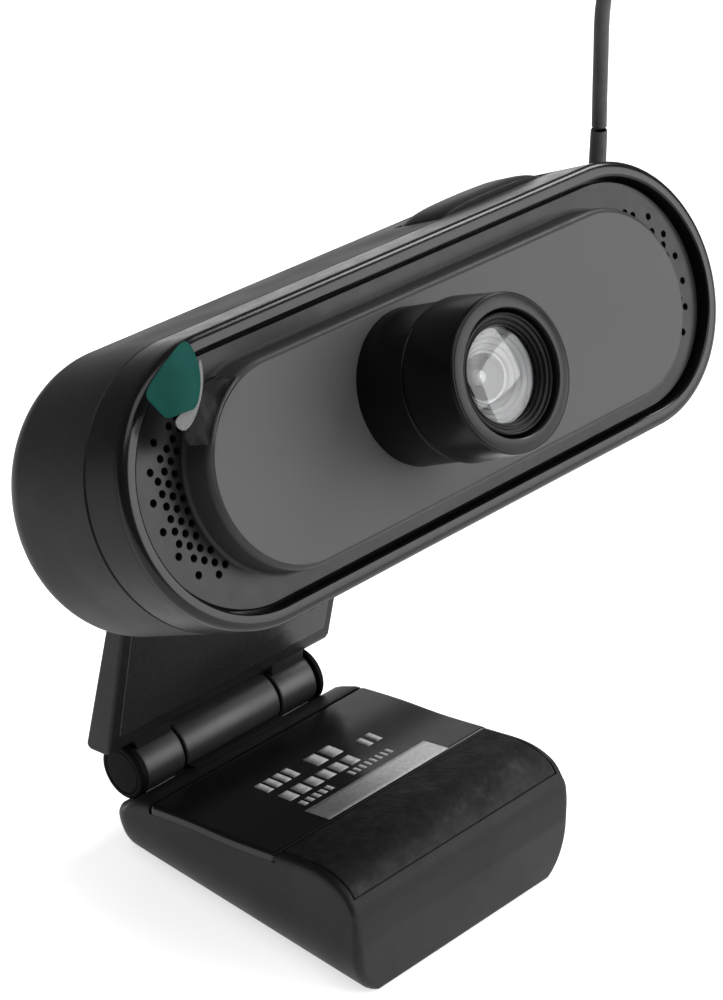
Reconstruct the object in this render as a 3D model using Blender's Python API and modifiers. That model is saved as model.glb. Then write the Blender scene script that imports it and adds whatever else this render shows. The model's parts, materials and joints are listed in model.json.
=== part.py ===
"""Webcam on a folding foot: a stadium-shaped head, a neck leaf behind it and a weighted foot under it.

Sizes are in millimetres and the helpers turn them into metres. +Z is up and the lens looks towards -Y.
The head is drawn from the centre of its rim's front plane: x to its side, y into its depth, z up.
The neck and the foot are drawn from the line on the desk under the hinge barrel, whose axis is y = 0.
"""

import math
from collections import namedtuple

import bmesh
import bpy
from mathutils import Euler, Matrix, Vector

MM = 0.001
GAP = 0.3  # between neighbouring pieces

# Where the head, the hinge barrel and the tilt joint stand.
HINGE_Y, HINGE_Z = 32.1, 12.4
HEAD_BEHIND, HEAD_Z, HEAD_TILT = -46.4, 87.2, 25.45
TILT_BEHIND, TILT_Z = -17.0, 63.0

# Head.
HEAD_LENGTH, HEAD_HEIGHT, HEAD_DEPTH = 110.0, 37.6, 27.0
BEZEL_DEPTH, RIM_WIDTH, WALL = 7.5, 2.2, 2.0
PLATE_FRONT, PLATE_BACK, PLATE_PLAY = 1.65, 3.3, 0.4
PANEL_LENGTH, PANEL_HEIGHT, PANEL_FRONT, PANEL_WALL = 88.2, 27.1, -3.1, 1.5
REAR_ROUND = 5.0
LENS_X, LENS_Z = -8.2, 1.9
COLLAR_RADIUS, COLLAR_FRONT, COLLAR_NECK = 10.2, -12.0, 8.6
RING_BACK_RADIUS, RING_FRONT_RADIUS, RING_FRONT, RING_BORE = 10.6, 10.0, -20.7, 7.7
GLASS_RADIUS, GLASS_APEX = 6.3, -18.6
BOARD_FRONT, BOARD_THICKNESS = 12.0, 1.2
MIC_X, MIC_RADIUS, HOLE_PITCH, HOLE_RADIUS = 47.0, 2.2, 1.9, 0.5
POST_X, POST_Z, POST_RADIUS, SCREW_RADIUS = 33.0, 12.5, 2.0, 1.2
SCREW_HEAD_RADIUS, SEAT_RADIUS = 2.1, 2.5
BUTTON_LEFT, BUTTON_RIGHT, BUTTON_BACK, BUTTON_TOP = 15.0, 37.0, 18.0, 20.2
LUG_INNER, LUG_OUTER, LUG_RADIUS = 10.5, 14.0, 5.0
BRACKET_SCREWS = [(-6.5, 0.0), (6.5, 0.0)]

# Neck leaf.
NECK_HALF, NECK_TOP = 22.9, 60.0
NECK_FRONT_FOOT, NECK_FRONT_SLOPE = (-2.0, 19.7), 0.1907
NECK_BACK_FOOT, NECK_BACK_SLOPE = (3.7, 17.0), 0.2525
KNUCKLE_RADIUS, KNUCKLE_SPLIT, KNUCKLE_END, BARREL_HALF = 4.2, 9.9, 17.6, 19.15
PIN_RADIUS = 1.6

# Foot leaf.
FOOT_HALF, FOOT_BOTTOM_HALF, FOOT_CREASE = 22.3, 17.0, 8.5
FOOT_TOP = ((-8.6, 12.6), (-17.7, 14.4), (-27.0, 15.8), (-36.4, 17.7), (-43.6, 19.0), (-48.2, 18.3),
            (-50.4, 16.2))
FOOT_SCREWS = [(-11.0, -17.0), (11.0, -17.0), (0.0, -30.0)]
COVER_BACK, COVER_FRONT, COVER_THICKNESS = -10.0, -35.2, 1.2
PAD_BACK, PAD_FRONT, PAD_THICKNESS, PAD_INSET = -36.4, -50.0, 1.6, 1.5

# Cord.
CABLE_RADIUS = 1.1
BOOT_X, BOOT_BEHIND, BOOT_TIP = 49.0, -29.75, 103.5
ROUTE = ((49.0, 2.35, 103.8), (49.0, 2.6, 113.0), (49.6, 3.0, 123.0), (53.2, 3.0, 136.0),
         (61.5, 2.6, 145.5), (73.0, 1.8, 147.0), (84.5, 0.6, 138.5), (92.5, -1.0, 120.0),
         (97.0, -1.6, 95.0), (100.2, -0.6, 66.0), (102.4, 1.4, 38.0), (102.9, 2.3, 24.5),
         (101.7, 0.6, 15.5), (99.8, -2.7, 11.5), (98.1, -5.6, 10.55))
COIL_X, COIL_Y, COIL_RADIUS, BUNDLE, BUNDLE_BOTTOM = 112.0, -14.0, 13.0, 8.8, 0.8
PLUG_BACK, GRIP_LENGTH, SHELL_LENGTH, PLUG_MIDDLE = 129.4, 20.0, 12.0, 3.9

ROUND = 24  # sides of a large round piece
SMALL_ROUND = 12  # sides of a pin, a screw or a bore

Frame = namedtuple("Frame", "empty datum")  # datum: the drawing's zero, in the empty's own coordinates


def clear_scene():
    for old in list(bpy.data.objects):
        bpy.data.objects.remove(old, do_unlink=True)


def new_collection(name, hidden=False):
    made = bpy.data.collections.new(name)
    made.hide_render = hidden
    bpy.context.scene.collection.children.link(made)
    return made


def material(name, colour, roughness, metallic=0.0):
    made = bpy.data.materials.new(name)
    made.use_nodes = True
    shader = made.node_tree.nodes["Principled BSDF"]
    shader.inputs["Base Color"].default_value = (*colour, 1.0)
    shader.inputs["Roughness"].default_value = roughness
    shader.inputs["Metallic"].default_value = metallic
    return made


clear_scene()
PARTS = new_collection("webcam")
CUTTERS = new_collection("cutters", hidden=True)
GLOSS_BLACK = material("gloss_black_plastic", (0.012, 0.012, 0.013), 0.15)
SATIN_BLACK = material("satin_black_plastic", (0.022, 0.022, 0.023), 0.42)
PANEL_GREY = material("film_covered_black", (0.035, 0.035, 0.036), 0.3)
CLEAR_FILM = material("clear_film", (0.45, 0.45, 0.44), 0.12)
TAB_GREEN = material("teal_tab", (0.01, 0.09, 0.06), 0.4)
GLASS = material("coated_glass", (0.25, 0.27, 0.28), 0.05)
RUBBER = material("black_rubber", (0.018, 0.018, 0.018), 0.8)
STEEL = material("steel", (0.45, 0.45, 0.46), 0.35, 1.0)
BOARD_GREEN = material("board_green", (0.01, 0.06, 0.025), 0.5)
SENSOR_DARK = material("sensor_silicon", (0.05, 0.04, 0.07), 0.2)
LABEL_WHITE = material("label_print", (0.4, 0.4, 0.4), 0.4)
BRASS = material("brass", (0.5, 0.36, 0.12), 0.35, 1.0)
CABLE_BLACK = material("cable_pvc", (0.015, 0.015, 0.016), 0.5)


def new_frame(name, place, parent=None, tilt=0.0, datum=(0.0, 0.0, 0.0)):
    empty = bpy.data.objects.new(name, None)
    PARTS.objects.link(empty)
    empty.parent = parent
    empty.location = Vector(place) * MM
    empty.rotation_euler.x = math.radians(tilt)
    return Frame(empty, datum)


HEAD = new_frame("head_frame", (0, HINGE_Y + HEAD_BEHIND, HEAD_Z), tilt=-HEAD_TILT)
LENS = new_frame("lens_axis", (LENS_X, 0, LENS_Z), parent=HEAD.empty)
BUTTON = new_frame("button_frame", ((BUTTON_LEFT + BUTTON_RIGHT) / 2, 0, 0), parent=HEAD.empty,
                   datum=(-(BUTTON_LEFT + BUTTON_RIGHT) / 2, 0, 0))
NECK = new_frame("tilt_axis", (0, HINGE_Y + TILT_BEHIND, TILT_Z), datum=(0, -TILT_BEHIND, -TILT_Z))
FOOT = new_frame("fold_axis", (0, HINGE_Y, HINGE_Z), datum=(0, 0, -HINGE_Z))
DESK = new_frame("desk_frame", (0, 0, 0))


def add_object(name, mesh, frame, look=None):
    """An object under its frame's empty. One without a look is a cutter or is joined to another piece."""
    made = bpy.data.objects.new(name, mesh)
    made.parent = frame.empty
    made.location = Vector(frame.datum) * MM
    if look:
        PARTS.objects.link(made)
        mesh.materials.append(look)
        mesh.shade_smooth()
        mesh.set_sharp_from_angle(angle=math.radians(32))
    else:
        CUTTERS.objects.link(made)
        made.hide_render = True
        made.display_type = "WIRE"
    return made


def mesh_from(name, shape):
    bmesh.ops.recalc_face_normals(shape, faces=shape.faces[:])
    if shape.calc_volume(signed=True) < 0:
        bmesh.ops.reverse_faces(shape, faces=shape.faces[:])
    mesh = bpy.data.meshes.new(name)
    shape.to_mesh(mesh)
    shape.free()
    return mesh


def boolean(target, tool, operation="DIFFERENCE"):
    step = target.modifiers.new(tool.name, "BOOLEAN")
    step.operation = operation
    step.solver = "EXACT"
    step.object = tool


def arc(centre, radius, start, end, steps):
    angles = [math.radians(start + (end - start) * i / steps) for i in range(steps + 1)]
    return [(centre[0] + radius * math.cos(a), centre[1] + radius * math.sin(a)) for a in angles]


def stadium(length, height):
    radius = height / 2
    side = length / 2 - radius
    return arc((side, 0), radius, -90, 90, ROUND // 2) + arc((-side, 0), radius, 90, 270, ROUND // 2)


def smooth_curve(points, steps):
    """Points of a Catmull-Rom curve through the given points."""
    knots = [Vector(p) for p in (points[0], *points, points[-1])]
    found = []
    for before, start, end, after in zip(knots, knots[1:], knots[2:], knots[3:]):
        for i in range(steps):
            t = i / steps
            bend = 2 * before - 5 * start + 4 * end - after
            twist = 3 * start - before - 3 * end + after
            found.append(0.5 * (2 * start + (end - before) * t + bend * t * t + twist * t * t * t))
    return found + [knots[-1]]


TURN = {"x": Euler((math.pi / 2, 0, math.pi / 2)), "y": Euler((math.pi / 2, 0, 0)), "z": Euler((0, 0, 0))}


def slab(name, outline, axis, low, high, frame, look=None, rounded=()):
    """A flat outline extruded along an axis from low to high.

    The outline holds (y, z) points along x, (x, z) along y and (x, y) along z.
    rounded lists the ends whose rim is rounded: (end, radius, segments).
    """
    curve = bpy.data.curves.new(name, "CURVE")
    curve.dimensions = "2D"
    curve.fill_mode = "BOTH"
    curve.extrude = (high - low) / 2 * MM
    spline = curve.splines.new("POLY")
    spline.points.add(len(outline) - 1)
    for point, (u, v) in zip(spline.points, outline):
        point.co = (u * MM, v * MM, 0, 1)
    spline.use_cyclic_u = True
    flat = bpy.data.objects.new(name, curve)
    CUTTERS.objects.link(flat)
    raw = bpy.data.meshes.new_from_object(flat.evaluated_get(bpy.context.evaluated_depsgraph_get()))
    bpy.data.objects.remove(flat)
    shape = bmesh.new()
    shape.from_mesh(raw)
    bpy.data.meshes.remove(raw)
    bmesh.ops.remove_doubles(shape, verts=shape.verts[:], dist=1e-6)
    bmesh.ops.recalc_face_normals(shape, faces=shape.faces[:])
    bmesh.ops.dissolve_limit(shape, angle_limit=0.01, verts=shape.verts[:], edges=shape.edges[:])
    column = "xyz".index(axis)
    middle = Vector([(low + high) / 2 * MM if i == column else 0 for i in range(3)])
    place = Matrix.Translation(middle) @ TURN[axis].to_matrix().to_4x4()
    bmesh.ops.transform(shape, matrix=place, verts=shape.verts[:])
    bmesh.ops.recalc_face_normals(shape, faces=shape.faces[:])
    shape.normal_update()
    for end, radius, segments in rounded:
        rim = [e for e in shape.edges if all(abs(v.co[column] - end * MM) < 1e-6 for v in e.verts)]
        bmesh.ops.bevel(shape, geom=rim, offset=radius * MM, segments=segments, profile=0.5,
                        affect="EDGES")
    return add_object(name, mesh_from(name, shape), frame, look)


def box(name, x, y, z, frame, look=None, bevel=0.0):
    """A box given by its (low, high) along each axis."""
    shape = bmesh.new()
    bmesh.ops.create_cube(shape, size=1.0)
    size = [high - low for low, high in (x, y, z)]
    middle = [(high + low) / 2 for low, high in (x, y, z)]
    bmesh.ops.scale(shape, vec=Vector(size) * MM, verts=shape.verts[:])
    bmesh.ops.translate(shape, vec=Vector(middle) * MM, verts=shape.verts[:])
    if bevel:
        shape.normal_update()
        bmesh.ops.bevel(shape, geom=shape.edges[:], offset=bevel * MM, segments=2, profile=0.5,
                        affect="EDGES")
    return add_object(name, mesh_from(name, shape), frame, look)


def rods(name, centres, radius, axis, low, high, frame, look=None, sides=SMALL_ROUND):
    """Cylinders along an axis from low to high. A centre holds the two coordinates across the axis."""
    shape = bmesh.new()
    column = "xyz".index(axis)
    sideways = {"x": Matrix.Rotation(math.pi / 2, 4, "Y"), "y": Matrix.Rotation(math.pi / 2, 4, "X")}
    for u, v in centres:
        middle = [u, v]
        middle.insert(column, (low + high) / 2)
        place = Matrix.Translation(Vector(middle) * MM) @ sideways.get(axis, Matrix())
        bmesh.ops.create_cone(shape, cap_ends=True, segments=sides, radius1=radius * MM,
                              radius2=radius * MM, depth=(high - low) * MM, matrix=place)
    return add_object(name, mesh_from(name, shape), frame, look)


def turned(name, profile, frame, look, ring=False, steps=ROUND, place=(0, 0, 0), towards_front=True):
    """A profile of (radius, height) points turned about the object's Z, running down its outer side.

    Towards the front, heights are minus the depth in the head. A ring's profile is a closed loop.
    """
    count = len(profile)
    edges = [(i, i + 1) for i in range(count - 1)] + ([(count - 1, 0)] if ring else [])
    mesh = bpy.data.meshes.new(name)
    mesh.from_pydata([(r * MM, 0, h * MM) for r, h in profile], edges, [])
    made = add_object(name, mesh, frame, look)
    made.location = (Vector(frame.datum) + Vector(place)) * MM
    if towards_front:
        made.rotation_euler.x = math.pi / 2
    screw = made.modifiers.new("turn", "SCREW")
    screw.axis = "Z"
    screw.steps = screw.render_steps = steps
    screw.use_merge_vertices = True
    screw.merge_threshold = 1e-5
    screw.use_smooth_shade = True
    return made


def tube(name, points, frame, look):
    curve = bpy.data.curves.new(name, "CURVE")
    curve.dimensions = "3D"
    curve.bevel_depth = CABLE_RADIUS * MM
    curve.bevel_resolution = 2
    curve.use_fill_caps = True
    spline = curve.splines.new("POLY")
    spline.points.add(len(points) - 1)
    for point, place in zip(spline.points, points):
        point.co = (*(Vector(place) * MM), 1)
    curve.materials.append(look)
    made = bpy.data.objects.new(name, curve)
    PARTS.objects.link(made)
    made.parent = frame.empty


def evenly_spaced(points, spacing):
    """Points of a polyline at about equal steps, with both of its ends."""
    lengths = [0.0]
    for start, end in zip(points, points[1:]):
        lengths.append(lengths[-1] + (end - start).length)
    count = round(lengths[-1] / spacing)
    found, i = [points[0]], 0
    for step in range(1, count):
        wanted = lengths[-1] * step / count
        while lengths[i + 1] < wanted:
            i += 1
        part = (wanted - lengths[i]) / (lengths[i + 1] - lengths[i])
        found.append(points[i].lerp(points[i + 1], part))
    return found + [points[-1]]


def inset_stadium(by):
    """The head's outline, that much inside."""
    return stadium(HEAD_LENGTH - 2 * by, HEAD_HEIGHT - 2 * by)


def make_bezel():
    posts = [(x, z) for x in (-POST_X, POST_X) for z in (-POST_Z, POST_Z)]
    bezel = slab("front_bezel", inset_stadium(0), "y", 0, BEZEL_DEPTH, HEAD, GLOSS_BLACK,
                 rounded=[(0, 0.8, 2)])
    boolean(bezel, slab("bezel_mouth", inset_stadium(RIM_WIDTH), "y", -1, 3.6, HEAD))
    boolean(bezel, slab("bezel_lip_hole", inset_stadium(5.0), "y", -1, 9, HEAD))
    boolean(bezel, slab("bezel_back_room", inset_stadium(WALL), "y", 5.1, 9, HEAD))
    boolean(bezel, rods("bezel_posts", posts, POST_RADIUS, "y", 4.0, 15.9, HEAD), "UNION")
    boolean(bezel, rods("bezel_post_bores", posts, SCREW_RADIUS + GAP, "y", 8, 17, HEAD))
    return posts


def mic_holes():
    """Staggered holes between the raised panel's end and the plate's rim."""
    row_step = HOLE_PITCH * math.sqrt(3) / 2
    plate_end, panel_end = (HEAD_LENGTH - HEAD_HEIGHT) / 2, (PANEL_LENGTH - PANEL_HEIGHT) / 2
    found = []
    for row in range(-5, 6):
        for column in range(20, 28):
            x, z = HOLE_PITCH * (column + (0.58 if row % 2 else 0.08)), row * row_step
            inside_rim = math.hypot(x - plate_end, z) < 14.5
            outside_panel = math.hypot(x - panel_end, z) > PANEL_HEIGHT / 2 + 1.2
            if inside_rim and outside_panel:
                found += [(x, z), (-x, z)]
    return found


def make_front_plate():
    plate = slab("front_plate", inset_stadium(RIM_WIDTH + PLATE_PLAY), "y", PLATE_FRONT, PLATE_BACK, HEAD,
                 PANEL_GREY)
    panel = slab("panel", stadium(PANEL_LENGTH, PANEL_HEIGHT), "y", PANEL_FRONT, 2.5, HEAD,
                 rounded=[(PANEL_FRONT, 0.7, 1)])
    pocket = stadium(PANEL_LENGTH - 2 * PANEL_WALL, PANEL_HEIGHT - 2 * PANEL_WALL)
    boolean(plate, panel, "UNION")
    boolean(plate, slab("panel_pocket", pocket, "y", PANEL_FRONT + PANEL_WALL, 5, HEAD))
    lens_hole = rods("lens_hole", [(LENS_X, LENS_Z)], COLLAR_NECK + GAP, "y", -6, 0, HEAD, sides=ROUND)
    boolean(plate, lens_hole)
    boolean(plate, rods("mic_holes", mic_holes(), HOLE_RADIUS, "y", 0, 5, HEAD, sides=6))


def make_film():
    """The protective film on the panel and its flap, which stands clear of the panel's upper left end."""
    back = PANEL_FRONT - GAP
    outline = stadium(PANEL_LENGTH - 1.6, PANEL_HEIGHT - 1.6)
    film = slab("protective_film", outline, "y", back - 0.2, back, HEAD, CLEAR_FILM)
    film_hole = rods("film_hole", [(LENS_X, LENS_Z)], COLLAR_RADIUS + GAP, "y", -5, 0, HEAD, sides=ROUND)
    boolean(film, film_hole)
    flap = [(-34.7, 13.2), (-40.2, 15.3), (-41.2, 19.5), (-49.4, 15.3), (-47.3, 11.9), (-46.1, 8.9),
            (-42.3, 6.9)]
    slab("film_pull_tab", flap, "y", -4.25, -3.95, HEAD, TAB_GREEN)


def make_lens():
    """Each profile runs along the lens axis: (radius, distance in front of the rim's plane)."""
    collar = [(COLLAR_RADIUS, -COLLAR_FRONT), (COLLAR_RADIUS, 3.4), (COLLAR_NECK, 3.4),
              (COLLAR_NECK, -0.5), (7.8, -0.5), (7.8, 5.4), (8.7, 5.4), (8.7, -COLLAR_FRONT)]
    turned("lens_collar", collar, LENS, GLOSS_BLACK, ring=True)
    turned("collar_nut", [(9.8, 1.3), (9.8, -0.2), (8.9, -0.2), (8.9, 1.3)], LENS, STEEL, ring=True)
    focus_ring = [(9.6, -RING_FRONT), (RING_FRONT_RADIUS, -RING_FRONT - 0.4), (RING_BACK_RADIUS, 12.8),
                  (RING_BACK_RADIUS, 12.4), (8.4, 12.4), (8.4, 6.0), (RING_BORE, 6.0), (RING_BORE, 19.4),
                  (8.0, -RING_FRONT)]
    turned("focus_ring", focus_ring, LENS, GLOSS_BLACK, ring=True)
    barrel = [(7.4, 19.2), (7.4, 1.0), (6.6, 1.0), (6.6, -4.0), (5.2, -4.0), (5.2, 14.6), (6.6, 14.6),
              (6.6, 17.6), (7.0, 17.6), (7.0, 19.2)]
    turned("lens_barrel", barrel, LENS, SATIN_BLACK, ring=True)
    retainer = [(6.7, 19.0), (6.7, 17.9), (5.95, 17.9), (5.95, 19.0)]
    turned("lens_retainer", retainer, LENS, SATIN_BLACK, ring=True)
    rim, angles = 17.6, (0, 0.5, 1.0, math.pi / 2)
    dome = [(5.6 * math.sin(a), rim + (-GLASS_APEX - rim) * math.cos(a)) for a in angles]
    front_lens = [*dome, (GLASS_RADIUS, rim), (GLASS_RADIUS, 15.0), (4.2, 15.0), (0, 15.6)]
    turned("front_lens", front_lens, LENS, GLASS)
    turned("rear_lens", [(0, 2.4), (3.0, 1.8), (4.8, 0.4), (4.8, -2.0), (0, -2.6)], LENS, GLASS)


def around_lens(half):
    return (LENS_X - half, LENS_X + half), (LENS_Z - half, LENS_Z + half)


def lens_box(name, half, y, look=None):
    x, z = around_lens(half)
    return box(name, x, y, z, HEAD, look)


def make_optics_mount():
    holder = lens_box("lens_holder", 8.6, (2.0, BOARD_FRONT - GAP), SATIN_BLACK)
    boolean(holder, rods("barrel_bore", [(LENS_X, LENS_Z)], 6.9, "y", 1, 4.8, HEAD, sides=ROUND))
    boolean(holder, lens_box("filter_seat", 5.0, (4.6, 6.2)))
    boolean(holder, lens_box("light_window", 3.6, (5, 10)))
    boolean(holder, lens_box("sensor_room", 5.4, (9.2, 13)))
    lens_box("ir_filter", 4.6, (5.2, 5.8), GLASS)
    lens_box("image_sensor", 4.6, (10.4, BOARD_FRONT - GAP), SENSOR_DARK)


def make_board():
    back = BOARD_FRONT + BOARD_THICKNESS
    board = box("main_board", (-49, 49), (BOARD_FRONT, back), (-9.8, 9.8), HEAD, BOARD_GREEN)
    boolean(board, box("cable_notch", (43, 51), (10, 16), (0.5, 12), HEAD))
    box("cable_socket", (33.5, 41.5), (back + GAP, back + 4.6), (-2.5, 2.5), HEAD, SATIN_BLACK)
    box("button_switch", (22, 28), (back + GAP, back + 4.0), (6.5, 11.9), HEAD, SATIN_BLACK)
    for side, x in (("left", -MIC_X), ("right", MIC_X)):
        rods(f"mic_capsule_{side}", [(x, 0)], MIC_RADIUS, "y", PLATE_BACK + GAP, 6.2, HEAD, STEEL)
        rods(f"mic_boot_{side}", [(x, 0)], 2.7, "y", 6.5, BOARD_FRONT - GAP, HEAD, RUBBER)


def make_rear_shell(posts):
    shell_front = BEZEL_DEPTH + GAP
    inner_back = HEAD_DEPTH - WALL
    shell = slab("rear_shell", inset_stadium(0), "y", shell_front, HEAD_DEPTH, HEAD, SATIN_BLACK,
                 rounded=[(HEAD_DEPTH, REAR_ROUND, 3)])
    boolean(shell, slab("shell_room", inset_stadium(WALL), "y", shell_front - 1, inner_back, HEAD))
    boolean(shell, rods("shell_posts", posts, POST_RADIUS, "y", 16.2, inner_back + 0.6, HEAD), "UNION")
    boolean(shell, rods("shell_post_bores", posts, SCREW_RADIUS + GAP, "y", 15, 29, HEAD))
    boolean(shell, rods("screw_seats", posts, SEAT_RADIUS, "y", 25.6, 29, HEAD))
    boolean(shell, box("button_hole", (BUTTON_LEFT, BUTTON_RIGHT), (6, BUTTON_BACK), (15.5, 22), HEAD))
    boolean(shell, rods("cable_hole", [(BOOT_X, HINGE_Y + BOOT_BEHIND)], 2.2, "z", 87, 100, DESK))
    boolean(shell, rods("bracket_screw_holes", BRACKET_SCREWS, SCREW_RADIUS + GAP, "y", 22, 29, HEAD))
    for number, post in enumerate(posts, 1):
        make_screw(f"shell_screw_{number}", post, 9.0, 25.9, 26.8)


def make_screw(name, centre, tip, under_head, top):
    """A screw driven in from behind the head, along its depth."""
    profile = [(0, -tip), (SCREW_RADIUS, -tip), (SCREW_RADIUS, -under_head),
               (SCREW_HEAD_RADIUS, -under_head), (SCREW_HEAD_RADIUS, -top), (0, -top)]
    turned(name, profile, HEAD, STEEL, steps=SMALL_ROUND, place=(centre[0], 0, centre[1]))


def make_button():
    """The cap in its hole, with the flange that keeps it in and the stem that meets the switch."""
    across = (BUTTON_LEFT + GAP, BUTTON_RIGHT - GAP)
    cap = box("button_cap", across, (8.1, BUTTON_BACK - GAP), (15.8, BUTTON_TOP), BUTTON, SATIN_BLACK,
              bevel=1.0)
    flange = box("cap_flange", (BUTTON_LEFT - 1, BUTTON_RIGHT + 1), (8.3, BUTTON_BACK + 1), (15.2, 16.3),
                 BUTTON)
    boolean(cap, flange, "UNION")
    boolean(cap, box("cap_stem", (23, 27), (14.0, 17.0), (12.8, 15.6), BUTTON), "UNION")


def make_tilt_bracket():
    """The plate screwed to the rear shell, whose two lugs hold the tilt pin."""
    tilt = math.radians(HEAD_TILT)
    behind, above = TILT_BEHIND - HEAD_BEHIND, TILT_Z - HEAD_Z
    pivot = (behind * math.cos(tilt) - above * math.sin(tilt),
             behind * math.sin(tilt) + above * math.cos(tilt))
    plate_front = HEAD_DEPTH + GAP
    bracket = box("tilt_bracket", (-16, 16), (plate_front, plate_front + 2), (-13.4, 3.6), HEAD,
                  SATIN_BLACK)
    lug = arc(pivot, LUG_RADIUS, -90, 80, 8) + [(plate_front + 1, 0.0), (plate_front + 1, pivot[1] - 4)]
    for side, low, high in (("left", -LUG_OUTER, -LUG_INNER), ("right", LUG_INNER, LUG_OUTER)):
        boolean(bracket, slab(f"lug_{side}", lug, "x", low, high, HEAD), "UNION")
    boolean(bracket, rods("lug_bores", [pivot], PIN_RADIUS + GAP, "x", -20, 20, HEAD))
    boolean(bracket, rods("bracket_bores", BRACKET_SCREWS, SCREW_RADIUS + GAP, "y", 26, 31, HEAD))
    for number, centre in enumerate(BRACKET_SCREWS, 1):
        make_screw(f"bracket_screw_{number}", centre, 22.5, plate_front + 2 + GAP, plate_front + 3.4)


def neck_front(z):
    return NECK_FRONT_FOOT[0] - NECK_FRONT_SLOPE * (z - NECK_FRONT_FOOT[1])


def neck_back(z):
    return NECK_BACK_FOOT[0] - NECK_BACK_SLOPE * (z - NECK_BACK_FOOT[1])


def on_neck_front(z, inside):
    """A point that far inside the leaf's front face."""
    return (neck_front(z) + inside, z)


def make_neck():
    hinge, tilt = (0, HINGE_Z), (TILT_BEHIND, TILT_Z)
    leaf = [on_neck_front(18.6, 0), (neck_front(18.6) + 1.2, 17.5), (NECK_BACK_FOOT[0] - 1.0, 17.0),
            NECK_BACK_FOOT, (neck_back(NECK_TOP), NECK_TOP), on_neck_front(NECK_TOP, 0)]
    frame = slab("neck_frame", leaf, "x", -NECK_HALF, NECK_HALF, NECK, SATIN_BLACK,
                 rounded=[(-NECK_HALF, 0.5, 1), (NECK_HALF, 0.5, 1)])
    add_knuckles(frame, hinge)
    reach = LUG_INNER - GAP
    boolean(frame, rods("tilt_knuckle", [tilt], 4.5, "x", -reach, reach, NECK, sides=ROUND), "UNION")
    arm = [on_neck_front(47, 1.4), on_neck_front(59, 1.4), (-14.6, 66.4), tilt, (-19.8, 60.0)]
    boolean(frame, slab("neck_arm", arm, "x", -reach + 0.2, reach - 0.2, NECK), "UNION")
    recess = [on_neck_front(22, 1.4), on_neck_front(46, 1.4), on_neck_front(46, -3),
              on_neck_front(22, -3)]
    boolean(frame, slab("cover_recess", recess, "x", -NECK_HALF + 1.6, NECK_HALF - 1.6, NECK))
    boolean(frame, rods("hinge_bore", [hinge], PIN_RADIUS + GAP, "x", -20, 20, NECK))
    boolean(frame, rods("tilt_bore", [tilt], PIN_RADIUS + GAP, "x", -20, 20, NECK))
    for side, sign in (("left", -1), ("right", 1)):
        low, high = sorted((sign * (KNUCKLE_SPLIT - 1), sign * (KNUCKLE_SPLIT + 1.2)))
        seat = rods(f"washer_seat_{side}", [hinge], 3.6, "x", low, high, NECK, sides=16)
        boolean(frame, seat)
        make_hinge_end(side, sign)
    cover = [on_neck_front(22.3, 0), on_neck_front(22.3, 1.1), on_neck_front(45.7, 1.1),
             on_neck_front(45.7, 0)]
    slab("neck_cover", cover, "x", -NECK_HALF + 1.9, NECK_HALF - 1.9, NECK, GLOSS_BLACK)
    rods("tilt_pin", [tilt], PIN_RADIUS, "x", -LUG_OUTER, LUG_OUTER, NECK, STEEL)
    rods("hinge_pin", [hinge], PIN_RADIUS, "x", -16.2, 16.2, NECK, STEEL)


def add_knuckles(frame, hinge):
    """The two outer hinge knuckles, each joined to the leaf by a web."""
    web = [(-1.6, HINGE_Z), (3.2, HINGE_Z), (2.6, 19.5), (-1.2, 19.5)]
    for side, sign in (("left", -1), ("right", 1)):
        low, high = sorted((sign * (KNUCKLE_SPLIT + 0.15), sign * KNUCKLE_END))
        knuckle = rods(f"neck_knuckle_{side}", [hinge], KNUCKLE_RADIUS, "x", low, high, NECK, sides=ROUND)
        boolean(frame, knuckle, "UNION")
        boolean(frame, slab(f"neck_web_{side}", web, "x", low + 0.1, high - 0.1, NECK), "UNION")


def make_hinge_end(side, sign):
    """The washer inside the outer knuckle and the cap on its end, turned about the barrel's axis."""
    washer = turned(f"friction_washer_{side}", [(3.3, 10.75), (3.3, 10.15), (1.95, 10.15), (1.95, 10.75)],
                    NECK, BRASS, ring=True, steps=16, towards_front=False)
    dome = [(0, BARREL_HALF), (3.3, BARREL_HALF), (4.0, BARREL_HALF - 0.35),
            (KNUCKLE_RADIUS, BARREL_HALF - 0.9), (KNUCKLE_RADIUS, KNUCKLE_END + GAP),
            (1.55, KNUCKLE_END + GAP), (1.55, 16.6), (0, 16.6)]
    cap = turned(f"hinge_cap_{side}", dome, NECK, GLOSS_BLACK, towards_front=False)
    for piece in (washer, cap):
        piece.location = (Vector(NECK.datum) + Vector((0, 0, HINGE_Z))) * MM
        piece.rotation_euler.y = sign * math.pi / 2


TOP_CURVE = smooth_curve([(*point, 0) for point in FOOT_TOP], 3)


def foot_top(y):
    """Height of the foot's upper surface at a place along it."""
    for back, front in zip(TOP_CURVE, TOP_CURVE[1:]):
        if front.x <= y <= back.x:
            return back.y + (front.y - back.y) * (y - back.x) / (front.x - back.x)
    raise ValueError("outside the foot's upper surface")


def band(back, front, over, under, steps=9):
    """Side outline of a sheet that follows the foot's upper surface."""
    ys = [back + (front - back) * i / steps for i in range(steps + 1)]
    return [(y, foot_top(y) + over) for y in ys] + [(y, foot_top(y) - under) for y in reversed(ys)]


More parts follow.
